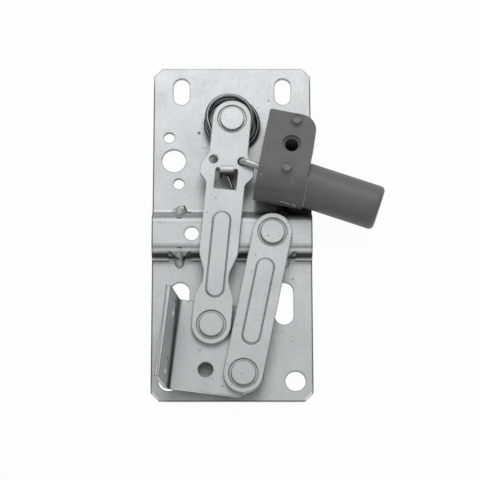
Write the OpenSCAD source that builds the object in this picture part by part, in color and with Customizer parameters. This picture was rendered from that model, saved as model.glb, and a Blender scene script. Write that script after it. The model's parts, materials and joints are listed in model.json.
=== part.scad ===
// Tip-out tray hinge: a stamped base plate carries a long and a short link, the
// links swing a front bracket out of the cabinet, a torsion spring closes it and
// a small damper slows it. Drawn closed, lying on its back.
// Origin: axis of the main pivot, on the back plane of the base plate.
// +Y runs up the plate, +X to the damper's side, +Z out of the plate.

/* [Base plate] */
// Width of the base plate
plate_w = 45.4; // [42:0.2:60]
// Height of the base plate
plate_h = 98; // [94:0.5:130]
// Sheet thickness of the base plate
plate_t = 1.4; // [1:0.1:2]
// Height of the top edge above the main pivot
plate_top = 17.5; // [16:0.5:30]
// Size of the cut-off corners
plate_chamfer = 2.4; // [0.5:0.1:4]

/* [Raised band] */
// Distance from the main pivot down to the middle of the band
band_drop = 33.25; // [32:0.05:35]
// Width of the band's flat top
band_flat = 8.8; // [8:0.1:10]
// Width of each sloping side, seen from the front
band_run = 2.35; // [2.2:0.05:4]
// Height of the band above the plate
band_rise = 5; // [4.8:0.1:7]
// Bend radius at the middle of the sheet
band_bend_r = 2; // [1.1:0.1:2.2]
// Distance of the gussets from the plate's centre line
gusset_x = 14.9; // [13:0.1:18]
// Reach of a gusset past the foot of the slope
gusset_reach = 2.4; // [1.8:0.1:2.8]
// Radius of a gusset's rounded ridge at its foot
gusset_r = 1.2; // [1.1:0.1:1.8]
// Distance from a gusset's tip to where its ridge starts to widen
gusset_neck = 1.6; // [1:0.1:2.2]
// Radius of a gusset's rounded ridge at its upper end
gusset_head_r = 4.6; // [3.6:0.1:5]

/* [Plate holes] */
// Distance of the upper slots from the centre line
top_slot_x = 14.65; // [12:0.05:17]
// Height of the upper slots above the main pivot
top_slot_y = 10.5; // [9:0.1:12]
// Width of the upper slots
top_slot_w = 4.7; // [4.5:0.1:5.5]
// Length of the upper slots
top_slot_l = 8.1; // [7:0.1:10]
// Distance of the lower slots from the centre line
low_slot_x = 14.65; // [12:0.05:17]
// Distance of the lower slots below the main pivot
low_slot_drop = 52.6; // [50:0.1:58]
// Width of the lower slots
low_slot_w = 5.3; // [4.5:0.1:6]
// Length of the lower slots
low_slot_l = 12.3; // [8:0.1:14]
// Distance of the lower screw holes from the centre line
screw_hole_x = 17.7; // [16:0.1:18]
// Distance of the lower screw holes from the plate's lower edge
screw_hole_edge = 5.7; // [4.5:0.1:10]
// Diameter of the lower screw holes
screw_hole_d = 5.7; // [4:0.1:6]
// Distance of the damper's seat from the centre line
seat_x = 16.7; // [16.2:0.05:17.5]
// Distance of the damper's seat below the main pivot
seat_drop = 10.5; // [10:0.1:11]
// Diameter of the large hole of the seat
seat_d = 6.9; // [6:0.1:8]
// Diameter of the two small holes of the seat
seat_pin_d = 3.2; // [2.5:0.1:3.6]
// Distance of the small holes from the large one
seat_pitch = 7.1; // [6.5:0.1:7.4]
// Lean of the row of seat holes
seat_lean = 11.6; // [9:0.1:13]

/* [Links] */
// Sheet thickness of both links
link_t = 1.5; // [1.2:0.1:2]
// Clearance between two sheets that turn on each other
run_gap = 0.1; // [0.05:0.01:0.2]
// Distance between the pivots of the long link
long_len = 60.4; // [58:0.1:64]
// Lean of the long link away from the plate's centre line
long_lean = 5.5; // [4:0.1:7]
// Width of the long link
long_w = 11; // [10.4:0.1:12]
// Width across the long link's shoulders, where the damper hooks in
shoulder_w = 15.3; // [14:0.1:15.8]
// Distance of the shoulders from the main pivot
shoulder_at = 15.5; // [14.5:0.1:16.5]
// Length of the shoulders' straight edge
shoulder_l = 2.8; // [2:0.1:4]
// Width of the long link at its waist
waist_w = 7.3; // [6.6:0.1:9]
// Distance of the waist from the main pivot
waist_at = 46.6; // [45:0.1:48]
// Length of the waist's straight edge
waist_l = 2.8; // [2:0.1:5]
// Distance of the damper's hook hole from the main pivot, along the link
hook_at = 12.5; // [12:0.1:13]
// Distance of the hook holes from the long link's middle line
hook_side = 4.05; // [3.8:0.05:4.4]
// Diameter of the hook holes
hook_hole_d = 2.5; // [2.4:0.1:2.8]
// Distance of the window's upper edge from the main pivot
window_at = 15.1; // [14.8:0.1:15.6]
// Length of the window
window_l = 5.9; // [5.5:0.1:7]
// Width of the window
window_w = 6.3; // [6:0.1:7.5]
// Width of the tab that holds the spring's leg
tab_w = 4; // [3.7:0.1:4.2]
// Depth of the tab below the link
tab_h = 3.1; // [2.4:0.1:3.4]
// Distance between the pivots of the short link
short_len = 41.15; // [39:0.05:43]
// Lean of the short link away from the plate's centre line
short_lean = 11.6; // [10:0.1:13]
// Width of the short link
short_w = 11; // [10:0.1:11.4]
// Distance from a pivot to the middle of the near end of a link's stiffening bead
bead_from = 10.4; // [9.6:0.1:12]
// Width of the stiffening beads
bead_w = 5.3; // [4:0.1:5.6]
// Height of the stiffening beads
bead_h = 0.4; // [0.2:0.05:0.6]
// Width of the slope round the stiffening beads
bead_slant = 0.4; // [0.3:0.05:0.8]

/* [Rivets] */
// Distance of the short link's pivot from the plate's centre line
short_pivot_x = 11.4; // [11:0.05:12]
// Distance of the short link's pivot below the middle of the band
short_pivot_drop = 0.25; // [0:0.05:1]
// Diameter of the rivet shanks
rivet_d = 4; // [3:0.1:4.4]
// Diameter of the rivet heads
rivet_head_d = 6.95; // [6:0.05:7.4]
// Thickness of the rivet heads
rivet_head_t = 0.85; // [0.6:0.05:1.2]
// Diameter of the shallow dish round each head
dish_d = 8.2; // [7.8:0.1:9]
// Depth of the shallow dish
dish_depth = 0.3; // [0.15:0.05:0.5]
// Diameter of the closing heads under the sheets
tail_d = 5.4; // [5:0.1:6.4]
// Thickness of the closing heads
tail_t = 0.8; // [0.5:0.05:1.2]
// Radial clearance of a rivet in the part that turns on it
pivot_gap = 0.08; // [0.02:0.01:0.1]
// Radial play of the bracket round the short link's lower rivet
bracket_play = 1.35; // [1.3:0.05:1.6]
// Diameter of the short link's lower rivet
loose_rivet_d = 3.4; // [3:0.1:3.8]
// Diameter of that rivet's closing head
loose_tail_d = 8.6; // [8:0.1:9.4]
// Outer diameter of the spacer bush on the main rivet
bush_d = 7.8; // [6.4:0.1:8]

/* [Front bracket] */
// Sheet thickness of the front bracket
bracket_t = 1.3; // [1.2:0.1:1.8]
// Lean of the front bracket when the hinge is closed
bracket_lean = 7; // [5:0.5:9]
// Distance of the upper edge from the long link's rivet
bracket_top = 6.35; // [6:0.05:8]
// Distance of the flange's inner face from the long link's rivet
bracket_left = 9.5; // [9:0.1:11]
// Distance of the lower edge from the short link's rivet
bracket_low = 6.5; // [5.6:0.1:6.7]
// Distance of the right edge from the short link's rivet
bracket_right = 5.7; // [5.3:0.1:6.5]
// Width cut off the lower right corner
bracket_cut_w = 6.3; // [4:0.1:7]
// Height cut off the lower right corner
bracket_cut_h = 4.4; // [2:0.1:5]
// Diameter of the tooling hole
tool_hole_d = 4.2; // [3:0.1:5]
// Height of the flange above the sheet's underside
flange_h = 17; // [14:0.1:20]
// Outward lean of the flange
flange_lean = 7.5; // [4:0.5:12]
// Bend radius of the flange at the middle of the sheet
flange_bend_r = 1.6; // [1.3:0.1:2.2]
// Diameter of the front's screw holes
flange_hole_d = 5.2; // [3.5:0.1:5.6]
// Distance between the front's screw holes
flange_hole_pitch = 16.2; // [14:0.1:17]
// Height of the front's screw holes above the sheet's underside
flange_hole_h = 8.4; // [7.4:0.1:9]

/* [Return spring] */
// Outer diameter of the coil's lower turn
coil_d = 16.3; // [15.8:0.1:17]
// Outer diameter of the coil's upper turn
coil_upper_d = 14.2; // [13.6:0.1:14.8]
// Sideways shift of the upper turn away from the damper
coil_shift_x = 0.7; // [0.4:0.05:0.9]
// Shift of the upper turn up the plate
coil_shift_y = 1.55; // [1.3:0.05:1.8]
// Diameter of the spring's wire
wire_d = 1.3; // [1:0.05:1.35]
// Number of turns
coil_turns = 1.7; // [1.5:0.05:1.75]
// Direction, seen from the main pivot, where the leg leaves the coil
leg_from = 199; // [198:0.5:200]
// Length of the leg
leg_l = 22; // [19:0.5:26]
// Clearance between the spring and what it lies on
spring_gap = 0.25; // [0.2:0.01:0.27]

/* [Damper housing] */
// Width of the block
block_w = 13.9; // [13:0.1:14.4]
// Distance of the block's left face from its fixing hole
block_left = 7.9; // [7.4:0.1:8]
// Distance of the block's upper face from its fixing hole
block_up = 9.15; // [8.8:0.05:11]
// Reach of the block's half-round lower end below its fixing hole
block_down = 15.65; // [15.2:0.05:15.9]
// Lean of the block
block_lean = 11.3; // [10:0.1:11.8]
// Radius of the block's large corner
block_corner_r = 4.5; // [2:0.1:6]
// Radius of the block's small corners
block_edge_r = 0.7; // [0.3:0.1:1.2]
// Outer diameter of the housing's tube
tube_d = 12.6; // [12.2:0.1:13]
// Slope of the tube below the horizontal
tube_lean = 18.9; // [18:0.1:20]
// Distance of the tube's axis below the fixing hole
tube_drop = 7.8; // [7.7:0.1:8.2]
// Distance from the fixing hole to the tube's closed end, along the tube
tube_end = 28.7; // [26:0.1:32]
// Rounding of the tube's closed end
tube_round = 1.4; // [0.5:0.1:2]
// Wall thickness of the tube
tube_wall = 1.2; // [1:0.1:1.4]
// Diameter of the fixing hole
fix_d = 3.8; // [3:0.1:4]
// Diameter of the shallow ring recess round the fixing hole
fix_ring_d = 5.2; // [4.6:0.1:6.4]
// Depth of the shallow ring recess
fix_ring_depth = 0.9; // [0.3:0.1:1.4]
// Diameter of the locating pegs
peg_d = 2.9; // [2.2:0.1:3]
// Height of the locating pegs in the plate
peg_h = 0.8; // [0.5:0.1:1]
// Height of the pegs on the block's upper face
top_peg_h = 1.2; // [0.6:0.1:1.6]
// Shift of the upper pegs up the plate from the row of the seat's holes
top_peg_up = 0.25; // [0:0.05:0.8]
// Diameter of the shallow dish in the upper pegs
peg_dish_d = 1.9; // [1:0.1:2]
// Depth of the shallow dish in the upper pegs
peg_dish_depth = 0.2; // [0.1:0.05:0.4]
// Length of the lock pin in the fixing hole
pin_l = 7.5; // [5:0.1:12]
// Clearance between parts that are pressed or laid into each other
fit_gap = 0.05; // [0.02:0.01:0.1]

/* [Damper insides] */
// Wall thickness of the oil cylinder
cylinder_wall = 0.8; // [0.6:0.05:1]
// Thickness of the cylinder's closed end
cylinder_floor = 1.2; // [0.8:0.1:2]
// Diameter of the damper's rod
rod_d = 1.9; // [1.6:0.05:2]
// Length of the rod from its hook to its inner end
rod_l = 32; // [30:0.5:34]
// Tilt of the rod out of the tube's axis when the hinge is closed
rod_tilt = 2.7; // [2.4:0.1:3]
// Inner radius of the hook's bend
hook_bend_r = 0.9; // [0.6:0.1:1.2]
// Length of the hook below the long link
hook_tail = 0.8; // [0.5:0.1:1.2]
// Clearance between the rod and the long link under it
rod_gap = 0.3; // [0.2:0.05:0.6]
// Sideways play of the rod and its piston in the damper
rod_play = 0.8; // [0.75:0.05:1]
// Depth of the guide inside the housing's mouth
guide_depth = 2; // [1.9:0.1:2.5]
// Length of the rod guide
guide_l = 2.5; // [2:0.1:3]
// Length of the rod seal
seal_l = 1.5; // [1:0.1:2]
// Length of the foam that makes room for the rod
foam_l = 4; // [3:0.1:5]
// Length of the piston
piston_l = 3.2; // [2.6:0.1:4]
// Width of the piston ring
ring_w = 1.2; // [0.8:0.1:1.6]
// Depth of the piston ring's groove
ring_depth = 0.7; // [0.5:0.05:0.9]

/* [Hidden] */

$fn = 64;
cut = 1;
arc_steps = 6;
zinc = [0.74, 0.75, 0.76];
bright_zinc = [0.8, 0.81, 0.82];
spring_steel = [0.6, 0.61, 0.63];
grey_plastic = [0.42, 0.43, 0.44];
dark_plastic = [0.2, 0.2, 0.21];
seal_rubber = [0.1, 0.1, 0.1];
foam_yellow = [0.75, 0.7, 0.5];

// Heights of the layers, from the plate's back upwards
band_top = plate_t + band_rise;
link_under = band_top + run_gap;
link_top = link_under + link_t;
dish_floor = link_top - dish_depth;
bracket_over = link_under - run_gap;
bracket_under = bracket_over - bracket_t;
rod_z = link_top + rod_gap + rod_d / 2;
block_top = 2 * rod_z - plate_t;

// Pivots in the plate's plane
plate_y0 = plate_top - plate_h;
short_pivot = [short_pivot_x, -band_drop - short_pivot_drop];
long_end = long_len * [-sin(long_lean), -cos(long_lean)];
short_end = short_pivot + short_len * [-sin(short_lean), -cos(short_lean)];
seat = [seat_x, -seat_drop];

// The short link's lower rivet, measured along and across the front bracket
coupler = turned(short_end - long_end, bracket_lean);
bracket_y0 = coupler[1] - bracket_low;
bracket_x1 = coupler[0] + bracket_right;

// Distances along the tube, counted from the foot of the fixing hole
mouth_turn = tube_lean - block_lean;
mouth_x = -(block_left - tube_drop * sin(mouth_turn)) / cos(mouth_turn);
cylinder_d = tube_d - 2 * tube_wall - 2 * fit_gap;
cylinder_bore = cylinder_d - 2 * cylinder_wall;
guide_x = mouth_x + guide_depth;
seal_x = guide_x + guide_l + fit_gap;
foam_x = seal_x + seal_l + fit_gap;
cylinder_end = tube_end - tube_wall - fit_gap;
bore_end = tube_end - tube_wall;
piston_d = cylinder_bore - 2 * rod_play;

// The hook hole in the plate's plane
hook = turned([hook_side, -hook_at], -long_lean);

// The spring's coil
coil_r = (coil_d - wire_d) / 2;
upper_r = (coil_upper_d - wire_d) / 2;
upper_middle = [-coil_shift_x, coil_shift_y];
coil_low = plate_t + spring_gap + wire_d / 2;
coil_high = link_under - spring_gap - wire_d / 2;
coil_start = leg_from - 360 * coil_turns;
anchor_bend_r = wire_d * 0.85;
wire_sides = 6;
coil_rings = 24;
coil_count = ceil(coil_turns * coil_rings);

function turned(p, a) = [p[0] * cos(a) - p[1] * sin(a), p[0] * sin(a) + p[1] * cos(a)];
function left_of(d) = [-d[1], d[0]];
function unit(v) = v / norm(v);
function turn_of(a, b) = atan2(a[0] * b[1] - a[1] * b[0], a * b);
function wrap(list, i) = list[(i + len(list)) % len(list)];

// Arc of radius r that rounds the corner at p between the directions a and b
function corner(p, a, b, r) =
    let (phi = turn_of(a, b), side = phi < 0 ? -1 : 1, start = p - a * r * tan(abs(phi) / 2))
    r == 0 ? [p] : [for (k = [0:arc_steps])
        start + side * r * (left_of(a) - turned(left_of(a), phi * k / arc_steps))];

// Closed outline whose corners [x, y, r] are rounded by their own radius r
function rounded(pts) = [for (i = [0:len(pts) - 1])
    let (p = xy(pts[i]), before = xy(wrap(pts, i - 1)), after = xy(wrap(pts, i + 1)))
    each corner(p, unit(p - before), unit(after - p), pts[i][2])];
function xy(p) = [p[0], p[1]];

// One face of a bent sheet: the line pts shifted sideways by d, with bends of
// radius r at the middle of the sheet
function face_of(pts, r, d) = [for (i = [0:len(pts) - 1])
    let (
        a = unit(i == 0 ? pts[1] - pts[0] : pts[i] - pts[i - 1]),
        b = unit(i == len(pts) - 1 ? pts[i] - pts[i - 1] : pts[i + 1] - pts[i]),
        p = pts[i] + d * (left_of(a) + left_of(b)) / (1 + a * b),
        side = turn_of(a, b) < 0 ? -1 : 1
    )
    each corner(p, a, b, i == 0 || i == len(pts) - 1 ? 0 : r - side * d)];
function reversed(list) = [for (i = [len(list) - 1:-1:0]) list[i]];
function sheet(pts, r, t) = concat(face_of(pts, r, t / 2), reversed(face_of(pts, r, -t / 2)));

module mirrored_pair() {
    children();
    mirror([1, 0, 0]) children();
}

// Upright slot of width w and overall length l
module slot(w, l) {
    for (side = [-1, 1]) translate([0, side * (l - w) / 2, 0]) circle(d = w);
    square([w, l - w], center = true);
}

// Extrudes a profile drawn in Y and Z along X, centred on the plate
module along_x(length) {
    rotate([90, 0, 90]) linear_extrude(length, center = true) children();
}

// Round rivet from its closing head at z0 to the top of its head at z1
module rivet(z0, z1, head_under, tail_over, shank_d, closing_d) {
    edge = rivet_head_t * 0.2;
    rotate_extrude() polygon([
        [0, z0], [closing_d / 2 - edge, z0], [closing_d / 2, z0 + edge], [closing_d / 2, tail_over],
        [shank_d / 2, tail_over], [shank_d / 2, head_under], [rivet_head_d / 2, head_under],
        [rivet_head_d / 2, z1 - edge], [rivet_head_d / 2 - edge, z1], [0, z1],
    ]);
}

// Base plate

band_line = [
    [plate_y0, plate_t / 2],
    [-band_drop - band_flat / 2 - band_run, plate_t / 2],
    [-band_drop - band_flat / 2, band_top - plate_t / 2],
    [-band_drop + band_flat / 2, band_top - plate_t / 2],
    [-band_drop + band_flat / 2 + band_run, plate_t / 2],
    [plate_top, plate_t / 2],
];

module plate_outline() {
    c = plate_chamfer;
    x = plate_w / 2;
    polygon([
        [-x, plate_y0 + c], [-x + c, plate_y0], [x - c, plate_y0], [x, plate_y0 + c],
        [x, plate_top - c], [x - c, plate_top], [-x + c, plate_top], [-x, plate_top - c],
    ]);
}

// Turns its children to a gusset's ridge line: X across it, Y up the slope
gusset_tip = band_flat / 2 + band_run + gusset_reach;
gusset_slope = atan2(band_rise, gusset_tip - band_flat / 2);
gusset_len = norm([band_rise, gusset_tip - band_flat / 2]);
module at_gussets() {
    mirrored_pair() for (side = [0, 1])
        translate([gusset_x, -band_drop, plate_t]) mirror([0, side, 0])
        translate([0, gusset_tip, 0]) rotate([180 - gusset_slope, 0, 0]) children();
}

gusset_flare = gusset_len - gusset_neck;
gusset_spread = asin((gusset_head_r - gusset_r) / gusset_flare);

// Rounded ridge that widens towards the band, its surface the distance inset below the ridge line
module gusset_funnel(inset) {
    translate([0, 0, gusset_r]) rotate([-90, 0, 0]) cylinder(r = gusset_r - inset, h = gusset_len);
    translate([0, gusset_neck, gusset_r]) rotate([gusset_spread - 90, 0, 0])
        cylinder(r1 = gusset_r - inset, r2 = gusset_head_r - inset, h = gusset_flare * cos(gusset_spread));
}

module gusset_ridge() {
    intersection() {
        gusset_funnel(0);
        translate([-gusset_head_r, 0, 0]) cube([2 * gusset_head_r, gusset_len, gusset_head_r]);
    }
}

module gusset_dent() {
    intersection() {
        gusset_funnel(plate_t / 2);
        translate([-gusset_head_r, plate_t, plate_t])
            cube([2 * gusset_head_r, gusset_len - 2 * plate_t, gusset_head_r]);
    }
}

module plate_holes() {
    translate([0, top_slot_y]) mirrored_pair() translate([top_slot_x, 0]) slot(top_slot_w, top_slot_l);
    translate([0, -low_slot_drop]) mirrored_pair() translate([low_slot_x, 0]) slot(low_slot_w, low_slot_l);
    mirrored_pair() {
        translate([screw_hole_x, plate_y0 + screw_hole_edge]) circle(d = screw_hole_d);
        translate(short_pivot) circle(d = rivet_d + 2 * fit_gap);
        translate(seat) circle(d = seat_d);
        for (side = [-1, 1]) translate(seat + side * seat_pitch * [sin(seat_lean), cos(seat_lean)])
            circle(d = seat_pin_d);
    }
    circle(d = rivet_d + 2 * fit_gap);
    rotate(coil_start) translate([coil_r, -anchor_bend_r]) circle(d = wire_d + 2 * spring_gap);
}

module base_plate() {
    color(zinc) difference() {
        union() {
            intersection() {
                along_x(plate_w) polygon(sheet(band_line, band_bend_r, plate_t));
                linear_extrude(band_top + cut) plate_outline();
            }
            intersection() {
                at_gussets() gusset_ridge();
                along_x(plate_w) polygon(concat(
                    face_of(band_line, band_bend_r, 0),
                    [[plate_top, band_top], [plate_y0, band_top]]
                ));
            }
        }
        at_gussets() gusset_dent();
        translate([0, 0, -cut]) linear_extrude(band_top + 2 * cut) plate_holes();
        translate([0, 0, -fit_gap]) cylinder(d1 = tail_d + 2 * fit_gap, d2 = rivet_d + 2 * fit_gap, h = tail_t);
    }
}

// Rivets and bush

module main_pivot_rivet() {
    edge = rivet_head_t * 0.2;
    under = dish_floor + run_gap;
    top = under + rivet_head_t;
    color(bright_zinc) rotate_extrude() polygon([
        [0, 0], [tail_d / 2 - fit_gap, 0], [rivet_d / 2, tail_t - fit_gap], [rivet_d / 2, under],
        [rivet_head_d / 2, under], [rivet_head_d / 2, top - edge], [rivet_head_d / 2 - edge, top], [0, top],
    ]);
}

module spacer_bush() {
    color(spring_steel) translate([0, 0, plate_t]) difference() {
        cylinder(d = bush_d, h = band_rise);
        translate([0, 0, -cut]) cylinder(d = rivet_d + 2 * fit_gap, h = band_rise + 2 * cut);
    }
}

module short_pivot_rivet() {
    under = dish_floor + run_gap;
    tail_over = band_top - plate_t;
    color(bright_zinc) translate(short_pivot)
        rivet(tail_over - tail_t, under + rivet_head_t, under, tail_over, rivet_d, tail_d);
}

module long_link_rivet() {
    tail_over = bracket_under - run_gap;
    color(bright_zinc) translate(long_end)
        rivet(tail_over - tail_t, dish_floor + rivet_head_t, dish_floor, tail_over, rivet_d, tail_d);
}

module short_link_rivet() {
    tail_over = bracket_under - run_gap;
    color(bright_zinc) translate(short_end)
        rivet(tail_over - tail_t, dish_floor + rivet_head_t, dish_floor, tail_over, loose_rivet_d, loose_tail_d);
}

// Links, drawn with their upper pivot at the origin and running down -Y

module bead(from, to, w) {
    top_w = w - 2 * bead_slant;
    for (y = [from, to]) translate([0, -y, 0]) cylinder(d1 = w, d2 = top_w, h = bead_h);
    translate([0, -from, 0]) rotate([90, 0, 0]) linear_extrude(to - from)
        polygon([[-w / 2, 0], [w / 2, 0], [top_w / 2, bead_h], [-top_w / 2, bead_h]]);
}

// Raises a bead on a link blank and hollows its back by as much
module beaded(from, to) {
    difference() {
        union() {
            children();
            translate([0, 0, link_t]) bead(from, to, bead_w);
        }
        bead(from, to, bead_w - bead_h);
    }
}

module pivot_cut(hole_d) {
    translate([0, 0, -cut]) cylinder(d = hole_d, h = link_t + 2 * cut);
    translate([0, 0, link_t - dish_depth]) cylinder(d = dish_d, h = dish_depth + cut);
}

// Length of the slopes on both sides of the shoulders and of the waist
shoulder_upper = 3.8;
shoulder_lower = 2.4;
waist_upper = 5.3;
waist_lower = 4.4;
// Radii of the corners there
tight_r = 2;
wide_r = 5;

// Distance from the window to the middle of the bead's upper end
long_bead_gap = 9.2;
// Further distance of the short bead's lower end from its pivot
short_bead_more = 0.5;

// Half of the long link's outline, from the main pivot down: [half width, distance, corner radius]
long_side = [
    [long_w / 2, 0, 0],
    [long_w / 2, shoulder_at - shoulder_l / 2 - shoulder_upper, tight_r],
    [shoulder_w / 2, shoulder_at - shoulder_l / 2, tight_r],
    [shoulder_w / 2, shoulder_at + shoulder_l / 2, tight_r],
    [long_w / 2, shoulder_at + shoulder_l / 2 + shoulder_lower, tight_r],
    [long_w / 2, waist_at - waist_l / 2 - waist_upper, wide_r],
    [waist_w / 2, waist_at - waist_l / 2, tight_r],
    [waist_w / 2, waist_at + waist_l / 2, tight_r],
    [long_w / 2, waist_at + waist_l / 2 + waist_lower, tight_r],
    [long_w / 2, long_len, 0],
];

module long_blank() {
    polygon(rounded(concat(
        [for (p = long_side) [p[0], -p[1], p[2]]],
        reversed([for (p = long_side) [-p[0], -p[1], p[2]]])
    )));
    for (y = [0, long_len]) translate([0, -y]) circle(d = long_w);
}

// Window of the long link, with a relief notch on each side of the tab's bend
tab_inner_r = 0.25;
module window_cut() {
    notch_d = (window_w - tab_w) / 2;
    over_bend = window_l + tab_inner_r;
    translate([-tab_w / 2, -window_at - window_l]) square([tab_w, over_bend]);
    translate([-window_w / 2, -window_at - window_l]) square([window_w, over_bend - notch_d / 2]);
    for (side = [-1, 1]) translate([side * (window_w - notch_d) / 2, -window_at + tab_inner_r - notch_d / 2])
        circle(d = notch_d);
}

// Tab bent down from the window's upper edge, notched for the spring's leg
module spring_tab() {
    tab_bend_r = link_t / 2 + tab_inner_r;
    root = window_at - tab_bend_r;
    notch_w = wire_d / cos(leg_turn) + link_t * tan(leg_turn) + 2 * spring_gap;
    difference() {
        rotate([90, 0, 90]) linear_extrude(tab_w, center = true) polygon(sheet(
            [[-root, link_t / 2], [-window_at - link_t / 2, link_t / 2], [-window_at - link_t / 2, -tab_h]],
            tab_bend_r, link_t
        ));
        translate([leg_cross - notch_w / 2, -window_at - 2 * link_t, -tab_h - cut])
            cube([notch_w, 3 * link_t, coil_high + wire_d / 2 + spring_gap - link_under + tab_h + cut]);
    }
}

module long_link() {
    color(zinc) rotate([0, 0, -long_lean]) translate([0, 0, link_under]) difference() {
        union() {
            beaded(window_at + window_l + long_bead_gap, long_len - bead_from) difference() {
                linear_extrude(link_t) long_blank();
                translate([0, 0, -cut]) linear_extrude(link_t + 2 * cut) window_cut();
            }
            spring_tab();
        }
        pivot_cut(rivet_d + 2 * pivot_gap);
        translate([0, -long_len, 0]) pivot_cut(rivet_d + 2 * fit_gap);
        for (side = [-1, 1]) translate([side * hook_side, -hook_at, -cut])
            cylinder(d = hook_hole_d, h = link_t + 2 * cut);
    }
}

module short_link() {
    color(zinc) translate(short_pivot) rotate([0, 0, -short_lean]) translate([0, 0, link_under]) difference() {
        beaded(bead_from, short_len - bead_from - short_bead_more) linear_extrude(link_t) {
            translate([-short_w / 2, -short_len]) square([short_w, short_len]);
            for (y = [0, short_len]) translate([0, -y]) circle(d = short_w);
        }
        pivot_cut(rivet_d + 2 * pivot_gap);
        translate([0, -short_len, 0]) pivot_cut(loose_rivet_d + 2 * fit_gap);
    }
}

// Front bracket, drawn with the long link's rivet at the origin

module flange_holes() {
    middle = (bracket_top + bracket_y0) / 2;
    for (side = [-1, 1])
        translate([-bracket_left, middle + side * flange_hole_pitch / 2, bracket_t])
        rotate([0, -flange_lean, 0]) translate([0, 0, (flange_hole_h - bracket_t) / cos(flange_lean)])
        rotate([0, 90, 0]) cylinder(d = flange_hole_d, h = 4 * bracket_t, center = true);
}

module front_bracket() {
    rise = flange_h - bracket_t / 2;
    inner = -bracket_left - bracket_t / 2;
    color(zinc) translate([long_end[0], long_end[1], bracket_under]) rotate([0, 0, -bracket_lean]) difference() {
        intersection() {
            translate([0, bracket_top, 0]) rotate([90, 0, 0]) linear_extrude(bracket_top - bracket_y0)
                polygon(sheet([
                    [bracket_x1, bracket_t / 2], [inner, bracket_t / 2],
                    [inner - rise * tan(flange_lean), flange_h],
                ], flange_bend_r, bracket_t));
            linear_extrude(flange_h) polygon(rounded([
                [-2 * bracket_left, bracket_y0, 0],
                [bracket_x1 - bracket_cut_w, bracket_y0, 1],
                [bracket_x1, bracket_y0 + bracket_cut_h, 1],
                [bracket_x1, bracket_top, 3],
                [-2 * bracket_left, bracket_top, 0],
            ]));
        }
        flange_holes();
        translate([0, 0, -cut]) linear_extrude(bracket_t + 2 * cut) {
            circle(d = rivet_d + 2 * pivot_gap);
            translate(coupler) circle(d = loose_rivet_d + 2 * bracket_play);
            translate([0, coupler[1]]) circle(d = tool_hole_d);
        }
    }
}

// Return spring, one wire swept along its centre line

leg_out = [-sin(leg_from), cos(leg_from)];
leg_start = upper_middle + upper_r * [cos(leg_from), sin(leg_from)];

// Place where the leg's middle line crosses the tab, in the long link's frame
tab_mid = window_at + link_t / 2;
leg_a = turned(leg_start, long_lean);
leg_b = turned(leg_out, long_lean);
leg_turn = abs(atan(leg_b[0] / leg_b[1]));
leg_cross = leg_a[0] + leg_b[0] * (-tab_mid - leg_a[1]) / leg_b[1];

// Share of the change from the lower to the upper turn, which the coil makes under the link
change_from = 0.5;
change_to = 0.68;
function change(t) =
    let (x = clamp_to((t - change_from) / (change_to - change_from), 0, 1))
    x * x * (3 - 2 * x);
function coil_point(i) =
    let (
        t = i / coil_count,
        a = coil_start + 360 * coil_turns * t,
        r = coil_r + (upper_r - coil_r) * change(t),
        p = upper_middle * change(t) + r * [cos(a), sin(a)]
    )
    [p[0], p[1], coil_low + (coil_high - coil_low) * t];
function leg_point(s) = [leg_start[0] + s * leg_out[0], leg_start[1] + s * leg_out[1], coil_high];
function anchor_point(k) =
    let (
        back = [sin(coil_start), -cos(coil_start)],
        p = coil_r * [cos(coil_start), sin(coil_start)] + anchor_bend_r * sin(15 * k) * back
    )
    [p[0], p[1], coil_low - anchor_bend_r * (1 - cos(15 * k))];
spring_path = concat(
    [[anchor_point(6)[0], anchor_point(6)[1], spring_gap]],
    [for (k = [6:-1:1]) anchor_point(k)],
    [for (i = [0:coil_count]) coil_point(i)],
    [for (s = [0.35, 1]) leg_point(leg_l * s)]
);

// Ring of points round the path's point i, square to the path there
function path_dir(i) =
    let (n = len(spring_path))
    unit(spring_path[min(i + 1, n - 1)] - spring_path[max(i - 1, 0)]);
function wire_ring(i) =
    let (
        t = path_dir(i),
        out = coil_side(i),
        u = unit(out - t * (out * t)),
        v = cross(t, u)
    )
    [for (k = [0:wire_sides - 1])
        spring_path[i] + wire_d / 2 * (u * cos(360 * k / wire_sides) + v * sin(360 * k / wire_sides))];
// Direction that keeps the rings from twisting: outward from the main pivot
function coil_side(i) =
    let (p = spring_path[clamp_to(i, 7, 7 + coil_count)])
    [p[0], p[1], 0] / norm([p[0], p[1]]);
function clamp_to(i, low, high) = min(max(i, low), high);

// Distances between the wire's surfaces: each turn over the one below it, and the leg over
// the coil, in steps of an eighth of a ring
half_turn = coil_rings / 2;
function coil_gaps() = concat(
    [for (i = [0:coil_count - half_turn], k = [i + half_turn:0.125:coil_count])
        norm(coil_point(i) - coil_point(k)) - wire_d],
    [for (s = [0:0.5:leg_l], k = [0:0.125:coil_count - half_turn])
        norm(leg_point(s) - coil_point(k)) - wire_d]
);

module return_spring() {
    n = len(spring_path);
    rings = [for (i = [0:n - 1]) each wire_ring(i)];
    sides = [for (i = [0:n - 2], k = [0:wire_sides - 1])
        let (
            a = i * wire_sides + k,
            b = i * wire_sides + (k + 1) % wire_sides
        )
        each [[a, b, a + wire_sides], [b, b + wire_sides, a + wire_sides]]];
    caps = [for (k = [1:wire_sides - 2])
        each [[0, k + 1, k], [0, k, k + 1] + (n - 1) * wire_sides * [1, 1, 1]]];
    echo(least_gap_of_the_spring = min(coil_gaps()));
    color(spring_steel) polyhedron(rings, concat(sides, caps));
}

// Damper, placed from its fixing hole over the plate's seat

module at_block() {
    translate([seat[0], seat[1], 0]) rotate([0, 0, -block_lean]) children();
}

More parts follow.
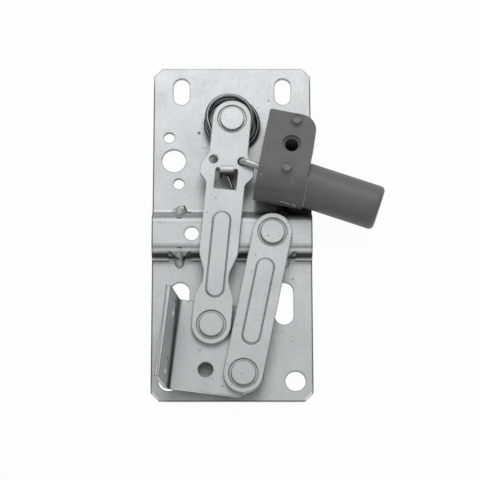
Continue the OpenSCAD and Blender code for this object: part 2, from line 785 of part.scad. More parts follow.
// Frame of the tube: X runs along its axis towards the closed end
module at_tube() {
    translate([seat[0], seat[1], rod_z]) rotate([0, 0, -tube_lean])
        translate([0, -tube_drop, 0]) rotate([0, 90, 0]) children();
}

module block_outline() {
    polygon(rounded([
        [-block_left, -block_down, 0],
        [block_w - block_left, -block_down, 0],
        [block_w - block_left, block_up, block_corner_r],
        [-block_left, block_up, block_edge_r],
    ]));
}

// Side view of the block: flat above and below, with a full round at its lower end
module block_side() {
    r = rod_z - plate_t;
    translate([r - block_down, 0]) circle(r = r);
    translate([r - block_down, -r]) square([block_down - r + block_up, 2 * r]);
}

module block() {
    intersection() {
        translate([0, 0, plate_t]) linear_extrude(block_top - plate_t) block_outline();
        translate([-block_left, 0, rod_z]) rotate([90, 0, 90]) linear_extrude(block_w) block_side();
    }
}

// Rounded rod along Z whose far end has the edge radius r
module round_ended(d, h, r) {
    rotate_extrude() polygon(concat(
        [[0, 0], [d / 2, 0]],
        [for (k = [0:arc_steps])
            [d / 2 - r + r * cos(90 * k / arc_steps), h - r + r * sin(90 * k / arc_steps)]],
        [[0, h]]
    ));
}

module pegs(d, h) {
    for (side = [-1, 1]) rotate(-seat_lean) translate([0, side * seat_pitch, 0]) cylinder(d = d, h = h);
}

module damper_housing() {
    boss_d = seat_d - 2 * fit_gap;
    color(grey_plastic) difference() {
        union() {
            at_block() block();
            at_tube() round_ended(tube_d, tube_end, tube_round);
            translate([seat[0], seat[1], 0]) {
                translate([0, 0, fit_gap]) cylinder(d = boss_d, h = plate_t);
                translate([0, top_peg_up, block_top - cut]) pegs(peg_d, top_peg_h + cut);
                translate([0, 0, plate_t - peg_h]) pegs(peg_d, peg_h + cut);
            }
        }
        at_tube() translate([0, 0, mouth_x - 2 * cut])
            cylinder(d = cylinder_d + 2 * fit_gap, h = bore_end - mouth_x + 2 * cut);
        translate([seat[0], seat[1], 0]) {
            translate([0, 0, -cut]) cylinder(d = fix_d, h = block_top + 2 * cut);
            translate([0, 0, block_top - fix_ring_depth]) cylinder(d = fix_ring_d, h = fix_ring_depth + cut);
            translate([0, top_peg_up, block_top + top_peg_h - peg_dish_depth])
                pegs(peg_dish_d, peg_dish_depth + cut);
        }
    }
}

module damper_lock_pin() {
    color(bright_zinc) translate([seat[0], seat[1], 2 * fit_gap])
        round_ended(fix_d - 2 * fit_gap, pin_l, fix_d / 4);
}

module damper_cylinder() {
    start = guide_x + guide_l;
    color(dark_plastic) at_tube() difference() {
        translate([0, 0, start]) cylinder(d = cylinder_d, h = cylinder_end - start);
        translate([0, 0, start - cut]) cylinder(d = cylinder_bore, h = cylinder_end - cylinder_floor - start + cut);
    }
}

// Plain ring round the rod, from x along the tube
module collar(x, l, outer, inner) {
    at_tube() translate([0, 0, x]) difference() {
        cylinder(d = outer, h = l);
        translate([0, 0, -cut]) cylinder(d = inner, h = l + 2 * cut);
    }
}

module rod_guide() {
    color(dark_plastic) collar(guide_x, guide_l, cylinder_d, rod_d + 2 * rod_play);
}

module rod_seal() {
    color(seal_rubber) collar(seal_x, seal_l, cylinder_bore - 2 * fit_gap, rod_d + 2 * rod_play);
}

module foam_compensator() {
    color(foam_yellow) collar(foam_x, foam_l, cylinder_bore - 2 * fit_gap, rod_d + 2 * rod_play);
}

// Frame of the rod: Z runs along it from the hook to its inner end
module at_rod() {
    translate([hook[0], hook[1], rod_z]) rotate([0, 0, -tube_lean - rod_tilt]) rotate([0, 90, 0]) children();
}

module damper_rod() {
    bend = hook_bend_r + rod_d / 2;
    color(bright_zinc) at_rod() {
        translate([0, 0, bend]) cylinder(d = rod_d, h = rod_l - bend);
        translate([bend, 0, bend]) rotate([90, 0, 0]) rotate([0, 0, 180]) rotate_extrude(angle = 90)
            translate([bend, 0]) circle(d = rod_d);
        translate([bend, 0, 0]) rotate([0, 90, 0])
            cylinder(d = rod_d, h = rod_z - bend - link_under + hook_tail);
    }
}

module damper_piston() {
    ring_x = (piston_l - ring_w) / 2;
    color(dark_plastic) at_rod() translate([0, 0, rod_l - piston_l]) difference() {
        cylinder(d = piston_d, h = piston_l);
        translate([0, 0, -cut]) cylinder(d = rod_d + 2 * fit_gap, h = piston_l + 2 * cut);
        translate([0, 0, ring_x]) difference() {
            cylinder(d = piston_d + cut, h = ring_w);
            cylinder(d = piston_d - 2 * ring_depth, h = ring_w);
        }
    }
}

module piston_ring() {
    ring_x = (piston_l - ring_w) / 2 + fit_gap;
    color(seal_rubber) at_rod() translate([0, 0, rod_l - piston_l + ring_x]) difference() {
        cylinder(d = piston_d + fit_gap, h = ring_w - 2 * fit_gap);
        translate([0, 0, -cut]) cylinder(d = piston_d - 2 * ring_depth + 2 * fit_gap, h = ring_w + 2 * cut);
    }
}

base_plate();
main_pivot_rivet();
spacer_bush();
return_spring();
short_pivot_rivet();
damper_housing();
damper_lock_pin();
damper_cylinder();
rod_guide();
rod_seal();
foam_compensator();
long_link();
long_link_rivet();
short_link();
short_link_rivet();
front_bracket();
damper_rod();
damper_piston();
piston_ring();
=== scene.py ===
import json
import math

import bmesh
import bpy
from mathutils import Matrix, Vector


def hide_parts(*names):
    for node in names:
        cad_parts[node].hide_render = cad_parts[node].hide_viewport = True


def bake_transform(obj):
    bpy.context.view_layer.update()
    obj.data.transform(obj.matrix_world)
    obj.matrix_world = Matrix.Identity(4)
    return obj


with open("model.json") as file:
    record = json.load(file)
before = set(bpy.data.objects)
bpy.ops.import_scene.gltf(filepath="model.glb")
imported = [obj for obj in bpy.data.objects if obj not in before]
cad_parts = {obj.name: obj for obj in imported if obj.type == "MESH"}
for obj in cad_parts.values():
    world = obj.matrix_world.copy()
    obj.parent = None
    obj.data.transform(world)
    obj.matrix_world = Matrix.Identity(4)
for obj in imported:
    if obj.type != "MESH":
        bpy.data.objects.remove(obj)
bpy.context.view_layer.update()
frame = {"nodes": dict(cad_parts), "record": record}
nodes = frame["nodes"]
scene = bpy.context.scene

MM_PER_M = 1000.0

# Camera, fitted to the plate's outline in the photograph (px, from its upper left corner)
PHOTO_SIZE = 480.0
FOCUS = 1919.46
OPTICAL_CENTRE = (232.06, 232.47)
SENSOR = 36.0
CAMERA_PLACE = (0.0, -0.1766, 0.5281)
PLATE_CENTRE = Vector((0.0, -0.0315, 0.0))

cam_data = bpy.data.cameras.new("view")
cam_data.sensor_width = SENSOR
cam_data.lens = FOCUS * SENSOR / PHOTO_SIZE
cam_data.shift_x = (PHOTO_SIZE / 2 - OPTICAL_CENTRE[0]) / PHOTO_SIZE
cam_data.shift_y = (OPTICAL_CENTRE[1] - PHOTO_SIZE / 2) / PHOTO_SIZE
cam_data.clip_start = 0.01
cam_data.clip_end = 50.0
cam = bpy.data.objects.new("view", cam_data)
scene.collection.objects.link(cam)
cam.location = CAMERA_PLACE
cam.rotation_euler = (PLATE_CENTRE - cam.location).to_track_quat("-Z", "Y").to_euler()
scene.camera = cam
scene.view_settings.view_transform = "Standard"


class Graph:
    """Small helper round a node tree. A socket is named by its label, or by _ and its place."""

    def __init__(self, owner):
        owner.use_nodes = True
        self.tree = owner.node_tree
        self.tree.nodes.clear()

    def new(self, kind, **sockets):
        node = self.tree.nodes.new(kind)
        for name, value in sockets.items():
            self.set(node, name, value)
        return node

    def set(self, node, name, value):
        socket = node.inputs[int(name[1:])] if name[0] == "_" else node.inputs[name.replace("_", " ")]
        if isinstance(value, bpy.types.NodeSocket):
            self.tree.links.new(value, socket)
        else:
            socket.default_value = value

    def math(self, operation, a, b=0.0):
        node = self.new("ShaderNodeMath", _0=a, _1=b)
        node.operation = operation
        return node.outputs[0]

    def vector(self, operation, a, b, output="Vector"):
        node = self.new("ShaderNodeVectorMath", _0=a, _1=b)
        node.operation = operation
        return node.outputs[output]

    def noise(self, vector, scale, detail=3.0, roughness=0.55):
        node = self.new("ShaderNodeTexNoise", Vector=vector, Scale=scale, Detail=detail, Roughness=roughness)
        return node.outputs["Fac"]

    def ramp(self, fac, stops):
        """Colour by the factor; each stop is (place, grey or colour)."""
        node = self.new("ShaderNodeValToRGB", Fac=fac)
        ramp = node.color_ramp
        while len(ramp.elements) < len(stops):
            ramp.elements.new(0.5)
        for element, (place, value) in zip(ramp.elements, stops):
            element.position = place
            colour = (value,) * 3 if isinstance(value, float) else value
            element.color = (*colour, 1.0)
        return node.outputs["Color"]

    def range(self, value, low, high, to_low, to_high):
        node = self.new("ShaderNodeMapRange")
        for place, number in enumerate((value, low, high, to_low, to_high)):
            self.set(node, f"_{place}", number)
        return node.outputs[0]

    def mix(self, fac, a, b):
        """Colour between a and b; a float stands for a grey."""
        node = self.tree.nodes.new("ShaderNodeMix")
        node.data_type = "RGBA"
        self.set(node, "_0", fac)
        for name, value in (("_6", a), ("_7", b)):
            self.set(node, name, (value, value, value, 1.0) if isinstance(value, float) else value)
        return node.outputs[2]

    def out(self, shader, kind="ShaderNodeOutputMaterial"):
        self.tree.links.new(shader, self.tree.nodes.new(kind).inputs["Surface"])


def material(name):
    mat = bpy.data.materials.new(name)
    return mat, Graph(mat)


# Specks: their outline is moved by noise, and they fade over the outer part of their radius
WOBBLE_SCALE = 1500.0
WOBBLE = 0.0008
SPECK_CORE = 0.4


def flecks(g, place, marks):
    """Share of dark specks and scratches; each mark is (x, y, radius, strength) in mm."""
    wobble = g.new("ShaderNodeTexNoise", Vector=place, Scale=WOBBLE_SCALE, Detail=2.0).outputs["Color"]
    moved = g.vector("MULTIPLY", wobble, (WOBBLE, WOBBLE, 0.0))
    flat = g.vector("MULTIPLY", place, (1.0, 1.0, 0.0))
    spot = g.vector("ADD", flat, moved)
    total = 0.0
    for x, y, radius, strength in marks:
        centre = (x / MM_PER_M + WOBBLE / 2, y / MM_PER_M + WOBBLE / 2, 0.0)
        away = g.vector("DISTANCE", spot, centre, "Value")
        radius = radius / MM_PER_M
        total = g.math("MAXIMUM", g.range(away, radius * SPECK_CORE, radius, strength, 0.0), total)
    return total


# Drawn lines fade at their ends and, over more of their width, at their sides
LINE_CORE_ALONG = 0.9
LINE_CORE_ACROSS = 0.4


def strokes(g, place, lines):
    """Share of drawn lines; each is (x, y, turn in degrees, half length, half width, strength) in mm."""
    total = 0.0
    for x, y, turn, half, wide, strength in lines:
        own_axes = g.new("ShaderNodeMapping", Vector=place, Location=(x / MM_PER_M, y / MM_PER_M, 0.0),
                         Rotation=(0.0, 0.0, math.radians(turn)))
        own_axes.vector_type = "TEXTURE"
        split = g.new("ShaderNodeSeparateXYZ", Vector=own_axes.outputs[0])
        half, wide = half / MM_PER_M, wide / MM_PER_M
        along = g.range(g.math("ABSOLUTE", split.outputs["X"]), half * LINE_CORE_ALONG, half, strength, 0.0)
        across = g.range(g.math("ABSOLUTE", split.outputs["Y"]), wide * LINE_CORE_ACROSS, wide, 1.0, 0.0)
        total = g.math("MAXIMUM", g.math("MULTIPLY", along, across), total)
    return total


def both_sides(lines):
    """The lines and their mirror images about the plate's centre line."""
    return [(side * x, y, side * turn, *rest) for x, y, turn, *rest in lines for side in (1, -1)]


# Cosine between the bevelled and the true normal: flat face, and full edge
FACE_COSINE = 0.9992
EDGE_COSINE = 0.96


def edge_shade_share(g, radius):
    """1 on an edge, falling to 0 within the radius (m); masks the painted shade along edges."""
    soft = g.new("ShaderNodeBevel", Radius=radius).outputs[0]
    true = g.new("ShaderNodeNewGeometry").outputs["True Normal"]
    cosine = g.vector("DOT_PRODUCT", soft, true, "Value")
    return g.range(cosine, FACE_COSINE, EDGE_COSINE, 0.0, 1.0)


# Open share of the surroundings at which a place counts as a gap, and as an open face, for the painted shade in gaps
GAP_OPEN = 0.2
FACE_OPEN = 0.62
GAP_FLOOR = 0.04


def unshaded_share(g, reach):
    """Share of the unshaded colour: 1 on open faces, falling to GAP_FLOOR in gaps narrower than the reach (m), where
    painted shade darkens it.
    """
    open_share = g.new("ShaderNodeAmbientOcclusion", Distance=reach).outputs["AO"]
    return g.range(open_share, GAP_OPEN, FACE_OPEN, GAP_FLOOR, 1.0)


# Greys that stains, specks, dark lines (painted shade, and a fine mark on a cut edge), painted shade on edges and in
# gaps, and painted highlights (glints) take on metal
METAL_STAIN = 0.28
METAL_SPECK = 0.1
METAL_SHADE_AND_MARK_LINE = 0.03
METAL_GAP_SHADE = 0.01
METAL_GLINT = 1.0
METAL_EDGE_SHADE = 0.92
ROLLING = (2600.0, 260.0, 1200.0)  # noise scale of the rolling grain along X, Y and Z
TONE_ENDS = (0.36, 0.64)  # noise values that give the dark and the light colour


def metal(name, dark, light, rough, bump, edge, seed, reach=0.003, shine=0.55,
          marks=(), lines=(), glints=(), clear=()):
    """Zinc-plated or drawn steel: fine mottling, faint stains, flecks, dark lines of painted shade (and a fine
    mark on a cut edge), painted highlights, and painted shade along cut edges and in gaps. The gap shade
    stays off the places in clear, which paints them lit. Bump, edge radius and reach are in metres."""
    mat, g = material(name)
    place = g.new("ShaderNodeTexCoord").outputs["Object"]
    shifted = g.vector("ADD", place, (seed, seed * 0.7, seed * 1.3))
    rolled = g.new("ShaderNodeMapping", Vector=shifted, Scale=ROLLING).outputs[0]
    grain = g.noise(rolled, 1.0, 2.0)
    fine = g.noise(shifted, 2400.0, 3.0, 0.65)
    cloud = g.noise(shifted, 120.0, 4.0, 0.6)
    speck = g.noise(shifted, 700.0, 1.0)
    tone = g.math("ADD", g.math("MULTIPLY", fine, 0.5), g.math("MULTIPLY", cloud, 0.35))
    tone = g.math("ADD", tone, g.math("MULTIPLY", grain, 0.15))
    colour = g.ramp(tone, list(zip(TONE_ENDS, (dark, light))))
    colour = g.mix(g.range(speck, 0.7, 0.76, 0.0, 0.35), colour, METAL_STAIN)
    if marks:
        colour = g.mix(flecks(g, place, marks), colour, METAL_SPECK)
    # Dark lines: painted shade at bends and edges, and a fine mark on the bracket's cut edge
    if lines:
        colour = g.mix(strokes(g, place, lines), colour, METAL_SHADE_AND_MARK_LINE)
    # Painted shade along the edges
    colour = g.mix(g.math("MULTIPLY", edge_shade_share(g, edge), METAL_EDGE_SHADE), colour, METAL_SHADE_AND_MARK_LINE)
    # Painted shade in gaps; the places in clear are kept free of it, which paints them lit
    unshaded = unshaded_share(g, reach)
    if clear:
        unshaded = g.math("MAXIMUM", unshaded, strokes(g, place, clear))
    colour = g.mix(unshaded, METAL_GAP_SHADE, colour)
    # Painted highlights (glints)
    if glints:
        colour = g.mix(strokes(g, place, glints), colour, METAL_GLINT)
    gloss = g.range(tone, 0.35, 0.65, rough + 0.04, rough - 0.04)
    soft = g.new("ShaderNodeBevel", Radius=edge * 0.25).outputs[0]
    relief = g.new("ShaderNodeBump", Strength=0.5, Distance=bump, Height=tone, Normal=soft).outputs[0]
    shader = g.new("ShaderNodeBsdfPrincipled", Base_Color=colour, Roughness=gloss, Metallic=shine, Normal=relief)
    g.out(shader.outputs[0])
    return mat


# Greys that painted shade lines, painted shade on edges and painted highlights (glints) take on plastic
PLASTIC_SHADE_LINE = 0.08
PLASTIC_EDGE = 0.4
PLASTIC_GLINT = 0.75
PLASTIC_EDGE_SHADE = 0.25


def plastic(name, dark, light, rough, bump, edge, grain=1800.0, lines=(), glints=()):
    """Moulded plastic, rubber or foam: fine matt texture, slightly uneven tone, painted shade lines and
    painted highlights where given, and painted shade along edges. Bump and edge radius are in metres."""
    mat, g = material(name)
    place = g.new("ShaderNodeTexCoord").outputs["Object"]
    fine = g.noise(place, grain, 4.0, 0.6)
    cloud = g.noise(place, 170.0, 3.0)
    tone = g.math("ADD", g.math("MULTIPLY", fine, 0.45), g.math("MULTIPLY", cloud, 0.55))
    colour = g.ramp(tone, list(zip(TONE_ENDS, (dark, light))))
    # Painted shade lines
    if lines:
        colour = g.mix(strokes(g, place, lines), colour, PLASTIC_SHADE_LINE)
    # Painted highlights (glints)
    if glints:
        colour = g.mix(strokes(g, place, glints), colour, PLASTIC_GLINT)
    # Painted shade along the edges
    colour = g.mix(g.math("MULTIPLY", edge_shade_share(g, edge), PLASTIC_EDGE_SHADE), colour, PLASTIC_EDGE)
    gloss = g.range(fine, 0.3, 0.7, rough - 0.05, rough + 0.05)
    soft = g.new("ShaderNodeBevel", Radius=edge).outputs[0]
    relief = g.new("ShaderNodeBump", Strength=0.6, Distance=bump, Height=fine, Normal=soft).outputs[0]
    shader = g.new("ShaderNodeBsdfPrincipled", Base_Color=colour, Roughness=gloss, Normal=relief)
    g.out(shader.outputs[0])
    return mat


# Dark and light colour, roughness, bump and edge radius
ZINC = ((0.55, 0.555, 0.56), (0.69, 0.695, 0.7), 0.42, 0.00004, 0.0004)
BRIGHT_ZINC = ((0.56, 0.565, 0.57), (0.66, 0.665, 0.67), 0.38, 0.00002, 0.0003)
SPRING_STEEL = ((0.2, 0.203, 0.207), (0.27, 0.273, 0.277), 0.22, 0.00001, 0.0001)
GREY_PLASTIC = ((0.145, 0.145, 0.149), (0.176, 0.176, 0.18), 0.5, 0.00003, 0.0004)
DARK_PLASTIC = ((0.043, 0.043, 0.045), (0.056, 0.056, 0.058), 0.42, 0.00002, 0.0003)
RUBBER = ((0.017, 0.017, 0.017), (0.024, 0.024, 0.024), 0.7, 0.00002, 0.0002)
FOAM = ((0.45, 0.4, 0.22), (0.58, 0.52, 0.3), 0.9, 0.0002, 0.0002)

# Marks of single pieces, and painted shade and painted highlights at their bends and edges, as seen in the photograph
PLATE_MARKS = [
    (-9.57, -2.07, 0.55, 1.0), (10.51, 7.75, 0.35, 0.8), (4.4, 12.12, 0.25, 0.6), (7.34, 5.61, 0.25, 0.6),
    (-8.6, -6.68, 0.2, 0.7), (-8.1, -6.7, 0.2, 0.7), (-7.6, -6.66, 0.2, 0.6), (16.66, -63.63, 0.3, 0.8),
    (11.47, -64.14, 0.25, 0.7), (14.01, -60.7, 0.3, 0.8), (17.23, -45.53, 0.35, 0.8), (-17.4, -44.2, 0.25, 0.6),
]
# Painted shade on the plate: dark lines along its edges, at the band's feet and slopes and beside the gussets
PLATE_SHADE_LINES = both_sides([
    (22.5, -32.0, 90.0, 48.0, 0.25, 0.75),  # the plate's long edges
    (19.5, -26.8, 0.0, 3.2, 0.35, 0.95),  # the band's upper foot outside the gussets
    (20.3, -39.3, 0.0, 2.6, 0.75, 0.95),  # its lower slope
    (20.3, -40.45, 0.0, 2.5, 0.2, 0.8),  # its lower foot
    (17.2, -39.65, 0.0, 1.2, 0.4, 0.95), (12.6, -39.65, 0.0, 1.2, 0.4, 0.95),  # beside the lower gussets
    (16.66, -39.3, 33.5, 2.1, 0.45, 0.8),  # outer side of the lower gussets
]) + [
    (0.0, -26.8, 0.0, 13.4, 0.35, 0.95),  # the band's upper foot between the gussets
    (0.0, -28.1, 0.0, 24.0, 1.3, 0.4), (0.0, -29.7, 0.0, 24.0, 1.0, 0.2),  # its upper slope
    (0.0, -37.4, 0.0, 24.0, 0.2, 0.45),  # lower end of its flat
    (0.0, -39.3, 0.0, 13.3, 0.75, 0.95),  # its lower slope
    (0.0, -40.45, 0.0, 12.0, 0.2, 0.8),  # its lower foot
    (-12.75, -39.3, 39.7, 1.8, 0.45, 0.9), (12.75, -39.3, -39.7, 1.8, 0.45, 0.8),  # inner side of the lower gussets
    (-13.4, -24.9, -66.0, 1.1, 0.45, 0.95), (-12.6, -25.95, 0.0, 1.1, 0.28, 0.9),  # upper left gusset
    (-16.6, -25.3, 60.0, 0.7, 0.25, 0.7),
    (13.07, -24.9, 60.6, 1.0, 0.3, 0.8),  # upper right gusset
    (0.8, -80.45, 0.0, 20.6, 0.22, 0.7),  # the plate's lower edge
]
# Painted highlights on the plate
PLATE_GLINTS = both_sides([
    (20.3, -40.05, 0.0, 2.5, 0.2, 0.9),  # over the band's lower foot, outside the gussets
    (14.6, -41.5, 90.0, 0.6, 0.5, 0.8),  # tips of the lower gussets
    (21.3, -79.1, 45.0, 1.4, 0.3, 0.9),  # lower cut-off corners
]) + [
    (0.0, -40.05, 0.0, 12.0, 0.2, 0.9),  # over the band's lower foot, between the gussets
    (0.0, -38.15, 0.0, 24.0, 0.45, 0.9),  # the lower end of its flat
    (-14.3, -24.6, 0.0, 0.5, 0.4, 0.8),  # upper left gusset
]
# Places on the plate kept free of the painted gap shade, so painted lit
PLATE_PAINTED_LIT = [
    (-7.3, -72.7, 0.0, 2.2, 1.9, 0.9),  # under the bracket's tooling hole
    (-3.3, -17.9, 0.0, 2.4, 2.0, 1.0),  # under the long link's window
]
BRACKET_MARKS = [
    (-8.89, -67.13, 0.3, 0.8), (-2.64, -77.18, 0.3, 0.8), (-12.1, -53.38, 0.3, 0.8), (-5.4, -72.6, 0.25, 0.6),
]
# Painted shade along the flange's bend, and a fine dark mark along its cut edge
BRACKET_SHADE_AND_MARK_LINES = [
    (-16.25, -65.66, -96.1, 15.5, 0.6, 0.9),  # bend of the flange
    (-19.0, -65.5, -95.5, 17.0, 0.15, 0.6),  # cut edge of the flange
]
# Painted highlight along the bracket's lower edge
BRACKET_GLINTS = [(-7.59, -79.2, -7.8, 9.4, 0.28, 1.0)]  # lower edge
LONG_LINK_MARKS = [
    (-7.06, -27.71, 0.35, 0.5), (-4.54, -23.6, 0.35, 0.5), (-6.21, -30.64, 0.3, 0.5), (-1.2, -20.3, 0.25, 0.6),
]
# Painted shade under the tab and over its bend
LONG_LINK_SHADE_LINES = [
    (-1.58, -16.3, 0.0, 2.5, 0.9, 0.9),  # underside of the tab
    (-1.6, -14.1, 0.0, 1.9, 0.12, 0.7),  # over the tab's bend
]
# Painted highlight on the tab's bend
LONG_LINK_GLINTS = [(-1.6, -14.85, 0.0, 1.8, 0.35, 0.9)]  # the tab's bend
SHORT_LINK_MARKS = [(6.57, -40.24, 0.3, 0.8), (9.3, -66.2, 0.25, 0.5)]
SHORT_PIVOT_MARKS = [(12.49, -30.39, 0.3, 0.8), (10.08, -34.76, 0.3, 0.8)]
# Painted shade: the housing's lower part darker
HOUSING_SHADE_LINES = [(13.0, -23.2, -8.0, 6.5, 0.9, 0.25), (13.0, -26.0, -8.0, 6.5, 0.6, 0.3)]
# Painted highlights on the housing
HOUSING_GLINTS = [
    (8.06, -19.28, 60.0, 0.25, 0.2, 0.5), (16.79, -20.9, 90.0, 1.0, 0.12, 0.2),  # a light mould line and a bright spot on the face, painted as highlights
    (14.85, -25.88, -14.0, 1.5, 0.06, 0.9), (17.3, -26.47, -14.0, 0.7, 0.06, 0.9),  # painted highlights (light streaks) on the lower end
    (20.32, -24.37, 80.0, 4.9, 0.2, 0.5),  # painted highlight along the edge beside the tube
    (18.12, -4.15, 0.0, 1.3, 1.5, 0.12), (15.23, -17.9, 0.0, 1.3, 1.5, 0.12),  # painted highlights on the tops of the pegs
]

# Looks by material slot, and of the pieces that have marks, painted shade and painted highlights of their own
LOOKS = {
    "bright_zinc": metal("bright_zinc_look", *BRIGHT_ZINC, 0.031, 0.0008),
    "spring_steel": metal("spring_steel_look", *SPRING_STEEL, 0.057, shine=1.0),
    "dark_plastic": plastic("dark_plastic_look", *DARK_PLASTIC),
    "seal_rubber": plastic("seal_rubber_look", *RUBBER),
    "foam": plastic("foam_look", *FOAM, 2600.0),
}
OWN = {
    "base_plate": metal("base_plate_look", *ZINC, 0.0, 0.006, marks=PLATE_MARKS, lines=PLATE_SHADE_LINES,
                        glints=PLATE_GLINTS, clear=PLATE_PAINTED_LIT),
    "front_bracket": metal("front_bracket_look", *ZINC, 0.023, 0.002, marks=BRACKET_MARKS, lines=BRACKET_SHADE_AND_MARK_LINES,
                           glints=BRACKET_GLINTS),
    "long_link": metal("long_link_look", *ZINC, 0.041, 0.0008, marks=LONG_LINK_MARKS, lines=LONG_LINK_SHADE_LINES,
                       glints=LONG_LINK_GLINTS),
    "short_link": metal("short_link_look", *ZINC, 0.067, 0.0008, marks=SHORT_LINK_MARKS),
    "short_pivot_rivet": metal("short_pivot_rivet_look", *ZINC, 0.083, 0.0008, marks=SHORT_PIVOT_MARKS),
    "damper_housing": plastic("damper_housing_look", *GREY_PLASTIC, lines=HOUSING_SHADE_LINES, glints=HOUSING_GLINTS),
}
for part in frame["record"]["subparts"]:
    piece = nodes[part["node"]]
    piece.data.materials.clear()
    piece.data.materials.append(OWN.get(part["node"]) or LOOKS[part["material_slot"]])

# Return spring (mm): the same path as the CAD wire, as a smooth round wire
WIRE = 1.3
SPRING_GAP = 0.25
LOW = 1.4 + SPRING_GAP + WIRE / 2  # wire's centre line over the plate
HIGH = 6.5 - SPRING_GAP - WIRE / 2  # and under the long link
TURNS = 1.7
LEG_FROM = 199.0  # degrees round the main pivot
LEG = 22.0
LOWER_R = (16.3 - WIRE) / 2
UPPER_R = (14.2 - WIRE) / 2
UPPER = Vector((-0.7, 1.55, 0.0))  # centre of the upper turn
NARROWS_FROM = 0.5  # share of the coil's length
NARROWS_OVER = 0.18
START = LEG_FROM - 360.0 * TURNS
HOOK_R = WIRE * 0.85
HOOK_END_Z = 0.25
HOOK_STEPS = 12
COIL_STEPS = 150
LEG_STEPS = 16


def coil_point(t):
    x = min(max((t - NARROWS_FROM) / NARROWS_OVER, 0.0), 1.0)
    share = x * x * (3 - 2 * x)
    angle = math.radians(START + 360.0 * TURNS * t)
    r = LOWER_R + (UPPER_R - LOWER_R) * share
    return UPPER * share + Vector((r * math.cos(angle), r * math.sin(angle), LOW + (HIGH - LOW) * t))


def spring_path():
    """Hook through the plate, coil, and leg to the long link's tab."""
    start = math.radians(START)
    foot = Vector((LOWER_R * math.cos(start), LOWER_R * math.sin(start), LOW))
    back = Vector((math.sin(start), -math.cos(start), 0.0))
    down = Vector((0.0, 0.0, -1.0))
    points = [foot + back * HOOK_R + down * (LOW - HOOK_END_Z)]
    for k in range(HOOK_STEPS, 0, -1):
        a = math.radians(90.0 / HOOK_STEPS * k)
        points.append(foot + back * (HOOK_R * math.sin(a)) + down * (HOOK_R * (1 - math.cos(a))))
    points += [coil_point(i / COIL_STEPS) for i in range(COIL_STEPS + 1)]
    leave = math.radians(LEG_FROM)
    out = Vector((-math.sin(leave), math.cos(leave), 0.0))
    coil_end = points[-1]
    points += [coil_end + out * (LEG * s / LEG_STEPS) for s in range(1, LEG_STEPS + 1)]
    return points


# Rounded end of a tube, with a ring at its tip and one between tip and full wire
END_LENGTH = 0.35  # share of the tube's radius
MIDDLE_AT = 0.3  # share of the end's length
TIP_RADIUS = 0.55  # shares of the tube's radius
MIDDLE_RADIUS = 0.82


def tube(name, points, radius, sides=16):
    """Closed tube round a line of points (mm), its ends slightly rounded."""
    last = len(points) - 1
    end = END_LENGTH * radius
    spots = []
    for i, p in enumerate(points):
        way = (points[min(i + 1, last)] - points[max(i - 1, 0)]).normalized()
        if i == 0:
            spots += [(p, way, TIP_RADIUS), (p + way * end * MIDDLE_AT, way, MIDDLE_RADIUS), (p + way * end, way, 1.0)]
        elif i == last:
            spots += [(p - way * end, way, 1.0), (p - way * end * MIDDLE_AT, way, MIDDLE_RADIUS), (p, way, TIP_RADIUS)]
        else:
            spots.append((p, way, 1.0))
    bm = bmesh.new()
    rings = []
    side = Vector((1.0, 0.0, 0.0))
    for p, way, share in spots:
        side = (side - way * side.dot(way)).normalized()
        over = way.cross(side)
        ring = []
        for k in range(sides):
            a = 2 * math.pi * k / sides
            ring.append(bm.verts.new((p + (side * math.cos(a) + over * math.sin(a)) * radius * share) / MM_PER_M))
        rings.append(ring)
    for one, two in zip(rings, rings[1:]):
        for k in range(sides):
            n = (k + 1) % sides
            bm.faces.new((one[k], one[n], two[n], two[k])).smooth = True
    bm.faces.new(reversed(rings[0]))
    bm.faces.new(rings[-1])
    mesh = bpy.data.meshes.new(name)
    bm.to_mesh(mesh)
    bm.free()
    obj = bpy.data.objects.new(name, mesh)
    scene.collection.objects.link(obj)
    return obj


spring = tube("spring_wire", spring_path(), WIRE / 2)
spring.data.materials.append(LOOKS["spring_steel"])
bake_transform(spring)
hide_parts("return_spring")

# Floor: white to the camera, with a faint shadow, and white in glossy reflections;
# the diffuse light that it sends back to the part is that of a mid grey floor
FLOOR_HALF = 3.0
FLOOR_Z = -0.0004
SHADOW_SHARE = 0.04
CORNERS = [(-1, -1), (1, -1), (1, 1), (-1, 1)]
WHITE = (1.0, 1.0, 1.0, 1.0)

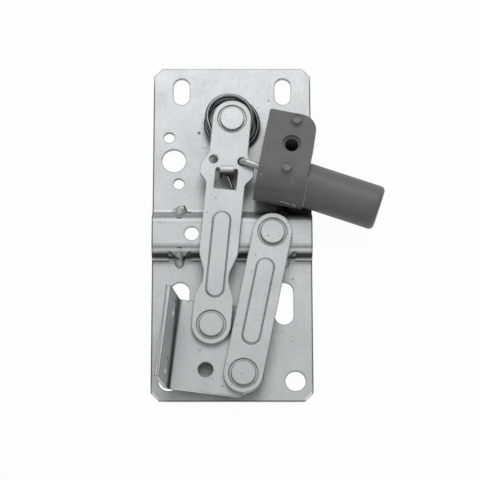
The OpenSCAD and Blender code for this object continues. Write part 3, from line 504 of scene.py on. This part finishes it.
floor_mesh = bpy.data.meshes.new("floor")
floor_mesh.from_pydata([(x * FLOOR_HALF, y * FLOOR_HALF, FLOOR_Z) for x, y in CORNERS], [], [(0, 1, 2, 3)])
floor = bpy.data.objects.new("floor", floor_mesh)
scene.collection.objects.link(floor)
floor_look, g = material("floor_look")
ray = g.new("ShaderNodeLightPath").outputs
white = g.new("ShaderNodeEmission", Color=WHITE, Strength=1.0).outputs[0]
pale = g.new("ShaderNodeBsdfDiffuse", Color=(0.9, 0.9, 0.9, 1.0)).outputs[0]
grey = g.new("ShaderNodeBsdfDiffuse", Color=(0.35, 0.35, 0.35, 1.0)).outputs[0]
shown = g.new("ShaderNodeMixShader", Fac=SHADOW_SHARE, _1=white, _2=pale).outputs[0]
bounced = g.new("ShaderNodeMixShader", Fac=ray["Is Glossy Ray"], _1=grey, _2=white).outputs[0]
g.out(g.new("ShaderNodeMixShader", Fac=ray["Is Camera Ray"], _1=bounced, _2=shown).outputs[0])
floor_mesh.materials.append(floor_look)

# Studio: soft light from above and from behind the plate's upper edge, darker at both sides, white to the camera
SKY_AXIS = (0.0, 0.8, 0.6)
SKY = [(0.0, 0.32), (0.3, 0.58), (0.5, 0.62), (0.65, 0.54), (0.8, 0.48), (0.9, 0.56), (1.0, 0.6)]
SIDE_GREY = 0.05

world = bpy.data.worlds.new("studio")
scene.world = world
g = Graph(world)
direction = g.new("ShaderNodeTexCoord").outputs["Generated"]
share = g.range(g.vector("DOT_PRODUCT", direction, SKY_AXIS, "Value"), -1.0, 1.0, 0.0, 1.0)
sideways = g.math("ABSOLUTE", g.new("ShaderNodeSeparateXYZ", Vector=direction).outputs["X"])
sky = g.mix(g.range(sideways, 0.3, 0.9, 0.0, 0.8), g.ramp(share, SKY), SIDE_GREY)
light = g.new("ShaderNodeBackground", Color=sky, Strength=1.0).outputs[0]
plain = g.new("ShaderNodeBackground", Color=WHITE, Strength=1.0).outputs[0]
seen = g.new("ShaderNodeLightPath").outputs["Is Camera Ray"]
g.out(g.new("ShaderNodeMixShader", Fac=seen, _1=light, _2=plain).outputs[0], "ShaderNodeOutputWorld")

KEY_PLACE = (0.02, 0.5, 0.68)
KEY_AIM = Vector((0.0, -0.03, 0.0))
KEY_SIZE = 0.5
KEY_POWER = 2.45

key = bpy.data.lights.new("key", "AREA")
key.shape = "RECTANGLE"
key.size = key.size_y = KEY_SIZE
key.energy = KEY_POWER
lamp = bpy.data.objects.new("key", key)
lamp.location = KEY_PLACE
lamp.rotation_euler = (KEY_AIM - lamp.location).to_track_quat("-Z", "Y").to_euler()
scene.collection.objects.link(lamp)
